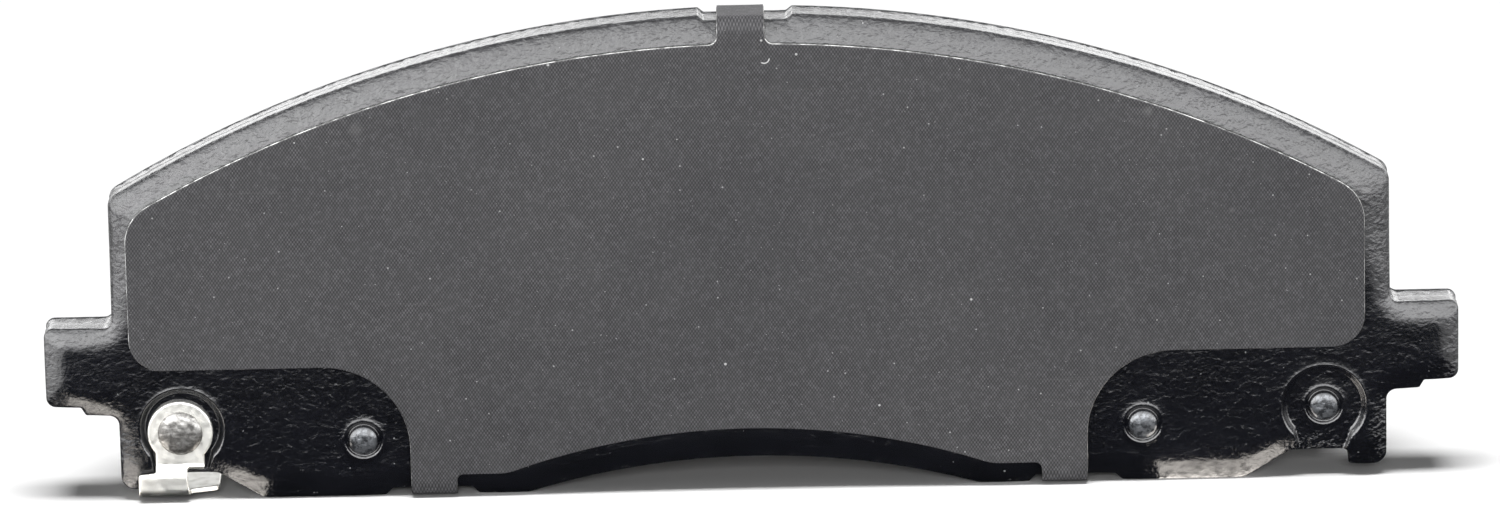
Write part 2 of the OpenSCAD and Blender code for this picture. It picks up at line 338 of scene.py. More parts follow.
def voronoi(nt, vec, scale, randomness=1.0, feature="F1", out="Distance"):
    n = nt.nodes.new("ShaderNodeTexVoronoi")
    n.feature = feature
    n.inputs["Scale"].default_value = scale
    n.inputs["Randomness"].default_value = randomness
    nt.links.new(vec, n.inputs["Vector"])
    return n.outputs[out]


def ramp(nt, fac, stops):
    r = nt.nodes.new("ShaderNodeValToRGB")
    e = r.color_ramp.elements
    while len(e) < len(stops):
        e.new(0.5)
    for el, (p, c) in zip(e, stops):
        el.position = p
        el.color = (c, c, c, 1) if not hasattr(c, "__len__") else (*c, 1)
    nt.links.new(fac, r.inputs["Fac"])
    return r.outputs["Color"]


def math_node(nt, op, a, b=None, clamp=False):
    n = nt.nodes.new("ShaderNodeMath")
    n.operation = op
    n.use_clamp = clamp
    for i, v in enumerate((a, b)):
        if v is None:
            continue
        if isinstance(v, (int, float)):
            n.inputs[i].default_value = v
        else:
            nt.links.new(v, n.inputs[i])
    return n.outputs[0]


def mix(nt, fac, a, b, blend="MIX"):
    n = nt.nodes.new("ShaderNodeMix")
    n.data_type = "RGBA"
    n.blend_type = blend
    for sock, v in ((n.inputs[0], fac), (n.inputs[6], a), (n.inputs[7], b)):
        if isinstance(v, (int, float)):
            sock.default_value = v
        elif isinstance(v, tuple):
            sock.default_value = (*v, 1)
        else:
            nt.links.new(v, sock)
    return n.outputs[2]


def attribute(nt, name):
    n = nt.nodes.new("ShaderNodeAttribute")
    n.attribute_name = name
    return n.outputs["Fac"]


def bump(nt, bsdf, layers):
    """Bumps one over another: (height, strength, distance in mm)."""
    prev = None
    for h, strength, dist in layers:
        b = nt.nodes.new("ShaderNodeBump")
        if isinstance(strength, (int, float)):
            b.inputs["Strength"].default_value = strength
        else:
            nt.links.new(strength, b.inputs["Strength"])
        b.inputs["Distance"].default_value = dist * MM
        nt.links.new(h, b.inputs["Height"])
        if prev is not None:
            nt.links.new(prev, b.inputs["Normal"])
        prev = b.outputs["Normal"]
    nt.links.new(prev, bsdf.inputs["Normal"])


def plate_paint():
    m, nt, s = material("plate_paint")
    v = coords(nt)
    wr = nt.nodes.new("ShaderNodeMapping")
    wr.inputs["Scale"].default_value = (0.82, 0.85, 1.12)
    nt.links.new(v, wr.inputs["Vector"])
    big, fine = noise(nt, wr.outputs["Vector"], 0.75, 2.5, 0.5, 0.6), noise(nt, v, 2.1, 3.0, 0.5)
    roll = attribute(nt, "roll")
    wall = attribute(nt, "wall")
    bare = attribute(nt, "bare")
    base = mix(nt, ramp(nt, noise(nt, v, 0.12, 3.0), [(0.3, 0.0), (0.7, 1.0)]), (0.0030, 0.0034, 0.0055), (0.0060, 0.0066, 0.0100))
    # dust and small chips in the paint
    d = voronoi(nt, v, 0.55)
    speck = math_node(nt, "LESS_THAN", d, 0.075)
    speck2 = math_node(nt, "GREATER_THAN", noise(nt, v, 1.1, 2.0), 0.6)
    speck = math_node(nt, "MULTIPLY", speck, speck2)
    base = mix(nt, math_node(nt, "MULTIPLY", speck, 0.8), base, (0.35, 0.36, 0.36))
    # worn to grey metal on the studs
    worn = math_node(nt, "MULTIPLY", bare, ramp(nt, noise(nt, v, 1.3, 4.0, 0.65), [(0.36, 0.15), (0.6, 1.0)]), clamp=True)
    base = mix(nt, worn, base, (0.19, 0.20, 0.215))
    nt.links.new(base, s.inputs["Base Color"])
    nt.links.new(math_node(nt, "MULTIPLY", worn, 0.75), s.inputs["Metallic"])
    r = math_node(nt, "ADD", ramp(nt, noise(nt, v, 0.8, 3.0), [(0.3, 0.12), (0.7, 0.22)]), math_node(nt, "MULTIPLY", worn, 0.24))
    nt.links.new(r, s.inputs["Roughness"])
    s.inputs["IOR"].default_value = 1.5
    s.inputs["Coat Weight"].default_value = 0.8
    s.inputs["Coat Roughness"].default_value = 0.16
    amount = math_node(nt, "ADD", math_node(nt, "MULTIPLY", roll, 0.95), 0.20, clamp=True)
    bump(nt, s, [(fine, amount, 0.30), (big, amount, 0.62),
                 (noise(nt, v, 3.2, 4.0, 0.6), math_node(nt, "ADD", math_node(nt, "MULTIPLY", wall, 0.7), 0.1, clamp=True), 0.09)])
    return m


def shim_coating():
    m, nt, s = material("shim_coating")
    v = coords(nt)
    flat_xy = nt.nodes.new("ShaderNodeAttribute")       # where each point was on the flat blank, in mm
    flat_xy.attribute_name = "blank"
    # dots in staggered rows 0.32 mm apart, like a fine weave
    def grid(off):
        mp = nt.nodes.new("ShaderNodeMapping")
        mp.inputs["Scale"].default_value = (1 / 0.441, 0.01, 1 / 0.632)
        mp.inputs["Rotation"].default_value = (0, math.radians(-0.9), 0)
        mp.inputs["Location"].default_value = off
        nt.links.new(flat_xy.outputs["Vector"], mp.inputs["Vector"])
        return voronoi(nt, mp.outputs["Vector"], 1.0, 0.0)
    dots = math_node(nt, "MINIMUM", grid((0, 0, 0)), grid((0.5, 0, 0.5)))
    dot = ramp(nt, dots, [(0.10, 1.0), (0.42, 0.0)])
    big = noise(nt, v, 0.035, 4.0, 0.6)
    mid = noise(nt, v, 0.35, 4.0, 0.6)
    base = mix(nt, dot, (0.010, 0.010, 0.0115), (0.083, 0.082, 0.087))
    base = mix(nt, ramp(nt, noise(nt, v, 1.6, 2.0), [(0.46, 0.0), (0.68, 1.0)]), base, mix(nt, 1.0, base, (1.5, 1.5, 1.5), "MULTIPLY"))
    base = mix(nt, ramp(nt, big, [(0.3, 0.0), (0.7, 1.0)]), base, mix(nt, 1.0, base, (1.40, 1.39, 1.36), "MULTIPLY"))
    base = mix(nt, ramp(nt, mid, [(0.35, 0.0), (0.75, 0.40)]), base, (0.080, 0.080, 0.083))
    # dust
    for sc, cut, keep, c in ((0.22, 0.040, 0.50, 0.55), (0.6, 0.070, 0.54, 0.36), (1.7, 0.11, 0.60, 0.28)):
        sp = math_node(nt, "MULTIPLY", math_node(nt, "LESS_THAN", voronoi(nt, v, sc), cut), math_node(nt, "GREATER_THAN", noise(nt, v, sc * 1.7, 1.0), keep))
        base = mix(nt, sp, base, (c, c, c))
    # faint rubbed marks and long scratches
    sc = nt.nodes.new("ShaderNodeMapping")
    sc.inputs["Rotation"].default_value = (0, math.radians(32), 0)
    sc.inputs["Scale"].default_value = (0.035, 0.3, 1.3)
    nt.links.new(v, sc.inputs["Vector"])
    rub = ramp(nt, noise(nt, sc.outputs["Vector"], 1.0, 3.0, 0.6), [(0.66, 0.0), (0.74, 0.22)])
    base = mix(nt, rub, base, (0.13, 0.13, 0.13))
    # small rubbed spots and one hooked nick, at their places on the shim
    sep = nt.nodes.new("ShaderNodeSeparateXYZ")
    nt.links.new(v, sep.inputs[0])
    X, Z = sep.outputs[0], sep.outputs[2]
    def dist(cx, cz):
        dx, dz = math_node(nt, "SUBTRACT", X, cx), math_node(nt, "SUBTRACT", Z, cz)
        return math_node(nt, "SQRT", math_node(nt, "ADD", math_node(nt, "MULTIPLY", dx, dx), math_node(nt, "MULTIPLY", dz, dz))), dx, dz
    for cx, cz, r, k in ((-51.6, 51.4, 1.9, 0.2), (52.9, 51.6, 1.5, 0.22), (63.9, 37.8, 0.9, 0.25)):
        q, _, _ = dist(cx, cz)
        w = ramp(nt, math_node(nt, "ADD", math_node(nt, "DIVIDE", q, r), math_node(nt, "MULTIPLY", mid, 0.8)), [(0.5, k), (1.0, 0.0)])
        base = mix(nt, w, base, (0.26, 0.26, 0.26))
    q, dx, dz = dist(2.45, 60.0)
    arc = math_node(nt, "LESS_THAN", math_node(nt, "ABSOLUTE", math_node(nt, "SUBTRACT", q, 0.66)), 0.085)
    arc = math_node(nt, "MULTIPLY", arc, math_node(nt, "LESS_THAN", math_node(nt, "SUBTRACT", dz, math_node(nt, "MULTIPLY", dx, 0.5)), -0.35))
    base = mix(nt, math_node(nt, "MULTIPLY", arc, 0.85), base, (0.8, 0.8, 0.8))
    nt.links.new(base, s.inputs["Base Color"])
    nt.links.new(ramp(nt, mid, [(0.3, 0.52), (0.7, 0.68)]), s.inputs["Roughness"])
    s.inputs["Specular IOR Level"].default_value = 0.3
    bump(nt, s, [(dots, 0.55, 0.06), (noise(nt, v, 0.18, 3.0), 0.12, 0.3)])
    return m


def steel(name, colour, rough, metal=1.0, mark=(0.1, 0.1, 0.09), streak=(1.0, 1.0, 1.0), depth=0.5, spread=(0.52, 0.72), spec=0.5):
    m, nt, s = material(name)
    v = coords(nt)
    mp = nt.nodes.new("ShaderNodeMapping")
    mp.inputs["Scale"].default_value = streak
    nt.links.new(v, mp.inputs["Vector"])
    a = noise(nt, mp.outputs["Vector"], 0.9, 4.0, 0.6)
    b = noise(nt, v, 4.0, 3.0, 0.6)
    base = mix(nt, ramp(nt, a, [(spread[0], 0.0), (spread[1], depth)]), colour, mark)
    base = mix(nt, ramp(nt, b, [(0.4, 0.0), (0.8, 0.3)]), base, tuple(min(1.0, c * 1.15) for c in colour))
    nt.links.new(base, s.inputs["Base Color"])
    s.inputs["Metallic"].default_value = metal
    s.inputs["Specular IOR Level"].default_value = spec
    nt.links.new(ramp(nt, a, [(0.3, rough * 0.8), (0.7, min(1.0, rough * 1.3))]), s.inputs["Roughness"])
    bump(nt, s, [(a, 0.25, 0.08), (b, 0.2, 0.03)])
    return m


def compound(name, dark, mid, fleck, rough=0.92, fleck_cut=0.16):
    m, nt, s = material(name)
    v = coords(nt)
    a, b = noise(nt, v, 0.5, 5.0, 0.65), noise(nt, v, 2.4, 4.0, 0.7)
    base = mix(nt, ramp(nt, a, [(0.35, 0.0), (0.65, 1.0)]), dark, mid)
    base = mix(nt, ramp(nt, b, [(0.3, 0.0), (0.75, 0.7)]), base, tuple(c * 1.7 for c in mid))
    f1 = math_node(nt, "LESS_THAN", voronoi(nt, v, 1.3), fleck_cut)
    f2 = math_node(nt, "LESS_THAN", voronoi(nt, v, 0.7), fleck_cut * 0.8)
    base = mix(nt, math_node(nt, "MULTIPLY", f1, 0.65), base, fleck)
    base = mix(nt, math_node(nt, "MULTIPLY", f2, 0.8), base, (0.012, 0.011, 0.010))
    nt.links.new(base, s.inputs["Base Color"])
    nt.links.new(math_node(nt, "MULTIPLY", f1, 0.35), s.inputs["Metallic"])
    nt.links.new(ramp(nt, b, [(0.3, rough * 0.85), (0.7, rough)]), s.inputs["Roughness"])
    s.inputs["Specular IOR Level"].default_value = 0.3
    pits = ramp(nt, voronoi(nt, v, 0.9), [(0.0, 0.0), (0.22, 1.0)])
    bump(nt, s, [(a, 0.6, 0.25), (b, 0.6, 0.12), (pits, 0.5, 0.12)])
    return m


def rubber(name, c, rough=0.7):
    m, nt, s = material(name)
    v = coords(nt)
    a, b = noise(nt, v, 0.4, 4.0), noise(nt, v, 3.0, 3.0)
    nt.links.new(mix(nt, ramp(nt, a, [(0.3, 0.0), (0.7, 1.0)]), c, tuple(x * 1.6 for x in c)), s.inputs["Base Color"])
    nt.links.new(ramp(nt, b, [(0.3, rough * 0.8), (0.7, rough)]), s.inputs["Roughness"])
    bump(nt, s, [(a, 0.3, 0.1), (b, 0.3, 0.04)])
    return m


M_PAINT = plate_paint()
M_COAT = shim_coating()
M_CORE = steel("shim_steel", (0.36, 0.36, 0.355), 0.45, mark=(0.05, 0.05, 0.05), depth=0.85, spread=(0.40, 0.56))
M_RUBBER = rubber("shim_rubber", (0.02, 0.02, 0.021))
M_GLUE = rubber("shim_adhesive", (0.075, 0.06, 0.035), 0.5)
M_ZINC = steel("zinc_steel", (0.66, 0.655, 0.625), 0.42, mark=(0.45, 0.42, 0.36), depth=0.4, spread=(0.56, 0.8))
M_RIVET = steel("rivet_steel", (0.34, 0.335, 0.325), 0.38, mark=(0.06, 0.057, 0.054), depth=0.85, spread=(0.44, 0.60), streak=(0.8, 0.8, 1.4))
M_FRICTION = compound("friction", (0.040, 0.036, 0.033), (0.085, 0.076, 0.068), (0.42, 0.33, 0.22))
M_UNDER = compound("underlayer", (0.030, 0.027, 0.025), (0.055, 0.047, 0.042), (0.2, 0.17, 0.13), fleck_cut=0.1)
M_BOND = rubber("bond_film", (0.055, 0.022, 0.016), 0.55)


# ---------------------------------------------------------------- plate
class Outside:
    """The share of a soft disk round a point that lies outside a loop: 0 well inside, 0.5 on a straight edge, more at a corner that sticks out."""

    def __init__(self, loop, radius, cell=0.1):
        self.cell, self.lo = cell, loop.min(0) - radius - 1
        nx, nz = 2048, 1024
        mask = np.zeros((nz, nx))
        a, b = loop, np.roll(loop, -1, axis=0)
        for j in range(nz):
            z = self.lo[1] + (j + 0.5) * cell
            k = (a[:, 1] > z) != (b[:, 1] > z)
            if not k.any():
                continue
            xs = np.sort(a[k, 0] + (b[k, 0] - a[k, 0]) * (z - a[k, 1]) / (b[k, 1] - a[k, 1]))
            for x0, x1 in zip(xs[::2], xs[1::2]):
                u0, u1 = (x0 - self.lo[0]) / cell, (x1 - self.lo[0]) / cell
                i0, i1 = int(u0), int(u1)
                mask[j, i0 + 1:i1] = 1
                mask[j, i0] += i0 + 1 - u0
                mask[j, i1] += u1 - i1
        g = np.minimum(np.arange(nx), nx - np.arange(nx))[None, :] * cell
        h = np.minimum(np.arange(nz), nz - np.arange(nz))[:, None] * cell
        ker = np.clip(1 - (g ** 2 + h ** 2) / radius ** 2, 0, None)
        ker /= ker.sum()
        self.map = 1 - np.fft.irfft2(np.fft.rfft2(mask) * np.fft.rfft2(ker), s=mask.shape)

    def __call__(self, p):
        u = (p - self.lo) / self.cell - 0.5
        i = np.clip(np.floor(u).astype(int), 0, [2046, 1022])
        f = u - i
        m = self.map
        x, z = i[:, 0], i[:, 1]
        return ((m[z, x] * (1 - f[:, 0]) + m[z, x + 1] * f[:, 0]) * (1 - f[:, 1])
                + (m[z + 1, x] * (1 - f[:, 0]) + m[z + 1, x + 1] * f[:, 0]) * f[:, 1])


PL = plate_outline()
# steps of the outline that the block's slot or the tabs need aren't wanted here, so the plate has its own outline
ROLL, ROLL_TOP = Outside(PL, 3.5), Outside(PL, 5.4)


def roll_depth(p):
    """Die roll: wider along the top arc and the shoulders than round the ears and legs."""
    low = 0.8 * np.clip(ROLL(p) / 0.5, 0, 2) ** 1.15
    top = 1.45 * np.clip(ROLL_TOP(p) / 0.5, 0, 2) ** 1.0
    k = np.clip((p[:, 1] - 27) / 9, 0, 1)
    k = k * k * (3 - 2 * k)
    return low * (1 - k) + top * k


def local_r(p, c):
    return np.hypot(p[:, 0] - c[0], p[:, 1] - c[1])


MOUTHS = ((-RX, -80.0, -72.6), (RX, 72.6, 79.0))


def recess_depth(p):
    """How deep the spotfaces are at points on the face, with the faint lip round their upper rims as negative depth."""
    out, lip = np.zeros(len(p)), np.zeros(len(p))
    for cx, m0, m1 in MOUTHS:
        r = local_r(p, (cx, RZ))
        out = np.maximum(out, np.interp(r, [4.80, 4.92, 5.06, 5.3, 5.54, 5.66, 5.78], [0.90, 0.88, 0.76, 0.45, 0.14, 0.03, 0]))
        lip = np.minimum(lip, np.interp(r, [5.5, 5.66, 5.8, 5.95, 6.2], [0, -0.03, -0.06, -0.03, 0]) * np.clip((p[:, 1] - 5) / 3, 0, 1))
        # the mouth's sides
        def side(a, b, sgn):
            d = np.array(b) - np.array(a)
            n = np.array([-d[1], d[0]]) / np.linalg.norm(d) * sgn
            return (p - np.array(a)) @ n
        dl = side((cx - 4.6, 8.0), (m0, 3.65), 1)
        dr = side((cx + 4.6, 8.0), (m1, 3.65), -1)
        d = np.minimum(dl, dr)
        k = np.interp(d, [-0.1, 0.0, 0.14, 0.36, 0.5], [0, 0.05, 0.28, 0.8, 0.9])
        out = np.maximum(out, np.where((p[:, 1] < 8.2) & (p[:, 1] > 2.5) & (np.abs(p[:, 0] - cx) < 6), k, 0))
    return np.where(out > 0.035, out, out + lip)


def stud_rise(p):
    """Along y, added to the local face: studs stand out, their moats go in."""
    out = np.zeros(len(p))
    for x, z, _ in STUDS:
        r = local_r(p, (x, z))
        out += np.interp(r, [0, 0.7, 1.2, 1.55, 1.8, 1.93, 1.985, 2.04, 2.14, 2.3, 2.45, 2.58, 2.7, 2.85, 3.05],
                         [-0.80, -0.78, -0.72, -0.62, -0.46, -0.27, -0.05, 0.17, 0.21, 0.14, 0.0, -0.075, -0.08, -0.04, 0])
    return out


def plate_front(v):
    """Depth of the plate's shim side at 2D points."""
    d, _ = seg_distance(v, PL)
    h = roll_depth(v)
    k = np.clip((v[:, 1] - 22) / 10, 0, 1)
    w, e = 0.5 + 0.65 * k, 0.3 + 0.55 * k
    edge = np.where(d < w, e * (1 - np.sqrt(np.clip(1 - (1 - d / w) ** 2, 0, 1))), 0)
    rec = recess_depth(v)
    rec_edge = np.maximum(rec - 0.35 * np.clip(h, 0, 1), 0)
    y = np.where(rec > 0.0, np.maximum(h + edge, rec + edge * 0.6) + 0.12 * np.minimum(h, rec_edge), h + edge + rec)
    wobble = 0.035 * noise2(v, 2.2, 3) * np.clip(h / 0.35, 0, 1) + 0.012 * noise2(v, 3.5, 4)
    y = y + wobble + stud_rise(v)
    return YF + np.clip(y, -0.84, 3.0)


def build_plate():
    n2 = normals_2d(PL)
    inner = inner_points(PL, [0.035, 0.09, 0.17, 0.28, 0.42, 0.6, 0.82, 1.08, 1.4, 1.8, 2.3, 2.9, 3.6], 0.95)
    clear = np.ones(len(inner), bool)
    loops = []
    for x, z, _ in STUDS:
        clear &= local_r(inner, (x, z)) > 3.2
        loops += [circle((x, z), r, 72 if r > 1 else 24) for r in (0.35, 0.7, 1.2, 1.55, 1.8, 1.93, 1.985, 2.04, 2.14, 2.3, 2.45, 2.58, 2.7, 2.85, 3.05)]
    for cx, m0, m1 in MOUTHS:
        r = local_r(inner, (cx, RZ))
        clear &= ~((r > 4.6) & (r < 6.35))
        loops += [circle((cx, RZ), rr, 150) for rr in (4.7, 4.80, 4.92, 5.06, 5.18, 5.3, 5.42, 5.54, 5.66, 5.73, 5.8, 5.88, 5.96, 6.1, 6.22)]
        for a, b, sg in (((cx - 4.6, 8.0), (m0, 3.65), 1), ((cx + 4.6, 8.0), (m1, 3.65), -1)):
            a, b = np.array(a), np.array(b)
            d = unit(b - a)
            nn = np.array([-d[1], d[0]]) * sg
            t = np.linspace(-0.1, 1.0, 26)[:, None]
            for o in (-0.1, 0.0, 0.14, 0.25, 0.36, 0.5, 0.62):
                q = a + (b - a) * t + nn * o
                q = q[q[:, 1] > 3.7]
                loops.append(q[local_r(q, (cx, RZ)) > 4.4])
    inner = inner[clear]
    hole = circle(RIV, 1.65, 48)
    inner = inner[local_r(inner, RIV) > 1.9]
    extra = np.concatenate(loops + [circle(RIV, 1.78, 48)])
    extra = extra[inside(extra, PL) & (local_r(extra, RIV) > 1.7)]
    d, _ = seg_distance(extra, PL)
    extra = extra[d > 0.04]
    pts = thin_out(np.concatenate([extra, inner]), 0.05)

    back_in = inner_points(PL, [0.06, 0.16, 0.4, 1.0], 2.2)
    back_in = back_in[local_r(back_in, RIV) > 1.9]
    bl = []
    for x, z, _ in STUDS:
        back_in = back_in[local_r(back_in, (x, z)) > 2.1]
        bl += [circle((x, z), r, 48) for r in (0.9, 1.76, 1.83, 1.88, 1.93, 2.02)]
    bl.append(circle(RIV, 1.78, 48))
    back_pts = thin_out(np.concatenate(bl + [back_in]), 0.045)

    def back_y(v):
        d, _ = seg_distance(v, PL)
        y = -0.14 * np.clip(1 - d / 0.18, 0, 1) ** 2
        for x, z, _ in STUDS:
            y = y - np.interp(local_r(v, (x, z)), [1.76, 1.84, 1.89, 1.97], [1.4, 1.28, 0.12, 0])
        return YB + y

    holes = [hole]
    fv, ff = triangulate2(PL, pts, holes)
    bv, bf = triangulate2(PL, back_pts, holes)
    yf_ = plate_front(fv)
    nh, n = len(hole), len(PL)
    verts = [(a, y, b) for (a, b), y in zip(fv, yf_)]
    nf = len(verts)
    verts += [(a, y, b) for (a, b), y in zip(bv, back_y(bv))]
    faces = [tuple(t) for t in ff] + [tuple(i + nf for i in reversed(t)) for t in bf]
    roll = list(np.clip(roll_depth(fv), 0, 1)) + [0.0] * len(bv)
    wall = [0.0] * len(verts)
    # the sheared wall: smooth near the front, torn towards the back
    y0, y1 = yf_[:n], back_y(bv[:n])
    levels = [np.arange(n)]
    arc = np.concatenate([[0], np.cumsum(np.linalg.norm(np.diff(PL, axis=0), axis=1))])
    for k in (0.03, 0.08, 0.16, 0.27, 0.38, 0.47, 0.55, 0.64, 0.74, 0.84, 0.93, 0.98):
        y = y0 + (y1 - y0) * k
        p3 = np.stack([PL[:, 0], y, PL[:, 1]], 1)
        tear = np.clip((k - 0.36) / 0.12, 0, 1) * (0.05 + 0.055 * (1 + noise2(p3, 1.6, 11)))
        soft = 0.02 * (1 + noise2(p3, 2.8, 12))
        q = PL + n2 * (tear + soft)[:, None]
        levels.append(np.arange(len(verts), len(verts) + n))
        verts += [(a, yy, b) for (a, b), yy in zip(q, y)]
        roll += [0.6] * n
        wall += [float(np.clip((k - 0.3) / 0.15, 0, 1))] * n
    levels.append(nf + np.arange(n))
    same = winding_same(PL, fv, ff)
    faces += wall_faces(levels, same, True)
    # the rivet hole
    hl = [n + np.arange(nh)]
    for k in (0.3, 0.7):
        hl.append(np.arange(len(verts), len(verts) + nh))
        yy = yf_[n:n + nh] * (1 - k) + YB * k
        verts += [(a, y, b) for (a, b), y in zip(hole, yy)]
        roll += [0.0] * nh
        wall += [0.0] * nh
    hl.append(nf + n + np.arange(nh))
    faces += wall_faces(hl, not winding_same(hole, fv, ff), True)
    o = make("backing_plate_visual", verts, faces, M_PAINT, 56)
    v3 = np.array(verts)
    bare = np.zeros(len(verts))
    for x, z, dep in STUDS:
        r = np.hypot(v3[:, 0] - x, v3[:, 2] - z)
        bare = np.maximum(bare, np.where(v3[:, 1] < YF + dep + 0.05, np.interp(r, [1.5, 1.95], [1.0, 0.0]), 0))
    add_attribute(o, "roll", roll)
    add_attribute(o, "wall", wall)
    add_attribute(o, "bare", bare)
    return o


def add_attribute(o, name, values):
    a = o.data.attributes.new(name, "FLOAT", "POINT")
    a.data.foreach_set("value", np.asarray(values, np.float32))


def winding_same(loop, fv, ff):
    ccw = 0.5 * np.sum(loop[:, 0] * np.roll(loop[:, 1], -1) - np.roll(loop[:, 0], -1) * loop[:, 1]) > 0
    f0 = np.array([fv[i] for i in ff[0]])
    a, b = f0[1] - f0[0], f0[2] - f0[0]
    return ccw == (a[0] * b[1] - a[1] * b[0] > 0)


def wall_faces(levels, same, closed=True):
    out = []
    for a, b in zip(levels[:-1], levels[1:]):
        n = len(a)
        for i in range(n if closed else n - 1):
            j = (i + 1) % n
            out.append((a[i], b[i], b[j], a[j]) if same else (a[i], a[j], b[j], b[i]))
    return [tuple(int(x) for x in q) for q in out]


def triangulate2(loop, pts, holes=()):
    """Triangulation inside loop and outside the holes. Loop points come first, then each hole's, in order."""
    parts = [loop, *holes]
    edges, s = [], 0
    for q in parts:
        edges += [(s + i, s + (i + 1) % len(q)) for i in range(len(q))]
        s += len(q)
    allp = np.concatenate(parts + ([pts] if len(pts) else []))
    v, _, f, ov, _, _ = delaunay_2d_cdt([Vector((float(a), float(b))) for a, b in allp], edges, [], 0, 1e-6)
    v = np.array([tuple(x) for x in v])
    where = {}
    for i, src in enumerate(ov):
        for k in src:
            where.setdefault(k, i)
    order = [where[i] for i in range(s)]
    fixed = set(order)
    rest = [i for i in range(len(v)) if i not in fixed]
    remap = np.empty(len(v), int)
    remap[order + rest] = np.arange(len(v))
    tri = np.array([t for t in f if len(t) == 3])
    c = v[tri].mean(1)
    ok = inside(c, loop)
    for h in holes:
        ok &= ~inside(c, h)
    tri = remap[tri[ok]]
    return v[order + rest], [tuple(int(i) for i in t) for t in tri]


def solid(name, loop, front_pts, back_pts, front, back, mat, rings=(), sharp=40, holes=()):
    """A closed piece: front and back surfaces over one outline, with rings of 3D points between them along the outline."""
    fv, ff = triangulate2(loop, front_pts, holes)
    bv, bf = triangulate2(loop, back_pts, holes)
    verts = [tuple(p) for p in front(fv)]
    nf = len(verts)
    verts += [tuple(p) for p in back(bv)]
    faces = [tuple(t) for t in ff] + [tuple(i + nf for i in reversed(t)) for t in bf]
    n = len(loop)
    levels = [np.arange(n)]
    for r in rings:
        levels.append(np.arange(len(verts), len(verts) + n))
        verts += [tuple(p) for p in r]
    levels.append(nf + np.arange(n))
    faces += wall_faces(levels, winding_same(loop, fv, ff))
    s = n
    for h in holes:
        faces += wall_faces([s + np.arange(len(h)), nf + s + np.arange(len(h))], not winding_same(h, fv, ff))
        s += len(h)
    return make(name, verts, faces, mat, sharp)


# ---------------------------------------------------------------- shim
L1, L2, L3 = R1 * math.pi / 2, PLATE_T - R1 - R2, R2 * math.pi / 2
TAIL = HOOK - R2
S_TOP = TOP_SEAT - R1 + L1 + L2 + L3 + TAIL
S_LOW = LOW_SEAT + R1 - L1 - L2 - L3 - TAIL
TAB_IN, TAB_OUT, TAB_HALF = 38.95, 45.1, 3.15


def blank(d):
    """The shim's flat blank with its three tabs, d inside its edge, as points (x, s)."""
    q = body_pts(d)
    r = OUTER_R - SHIM_EDGE - d
    top = [p for p in q if p[0] > TAB_HALF + 1.9 and p[1] > 30]
    w = TAB_HALF - d
    head = [(0, S_TOP - d, 0), (w, S_TOP - d, 0.35), (w, on_arc(w, r, ZC), 1.2)]
    low_i = next(i for i, p in enumerate(q) if p[1] < 30)
    side = [p for p in q[low_i:] if p[1] >= 7 - 1e-6 or p[0] < 40]
    cut = [i for i, p in enumerate(side) if p[0] < 40][0]
    lower = [(TAB_OUT - d, S_LOW + d, 0.35), (TAB_IN + d, S_LOW + d, 0.35), (TAB_IN + d, 3.2 + d, 0.9)]
    half = head + top + side[:cut] + lower + side[cut:]
    return resample(rounded(mirror(half)), 0.6)


def fold(p, t):
    """Points (x, s) of the blank, t off the plate's surface, to their places on the folded shim."""
    x, s = p[:, 0] + SHIFT, p[:, 1]
    t = np.broadcast_to(t, s.shape)
    y, z = YF - t, s.astype(float).copy()
    for g, seat in ((1, TOP_SEAT), (-1, LOW_SEAT)):
        z1 = seat - g * R1
        u = g * (s - z1)
        a = np.clip(u / L1, 0, 1) * math.pi / 2
        m = u > 0
        y = np.where(m, YF + R1 - (R1 + t) * np.cos(a), y)
        z = np.where(m, z1 + g * (R1 + t) * np.sin(a), z)
        m = u > L1
        y = np.where(m, YF + R1 + (u - L1), y)
        z = np.where(m, seat + g * t, z)
        u3 = u - L1 - L2
        b = np.clip(u3 / L3, 0, 1) * math.pi / 2
        m = u3 > 0
        y = np.where(m, YB - R2 + (R2 + t) * np.sin(b), y)
        z = np.where(m, seat - g * R2 + g * (R2 + t) * np.cos(b), z)
        u4 = u3 - L3
        m = u4 > 0
        y = np.where(m, YB + t, y)
        z = np.where(m, seat - g * (R2 + u4), z)
    return np.stack([x, y, z], 1)


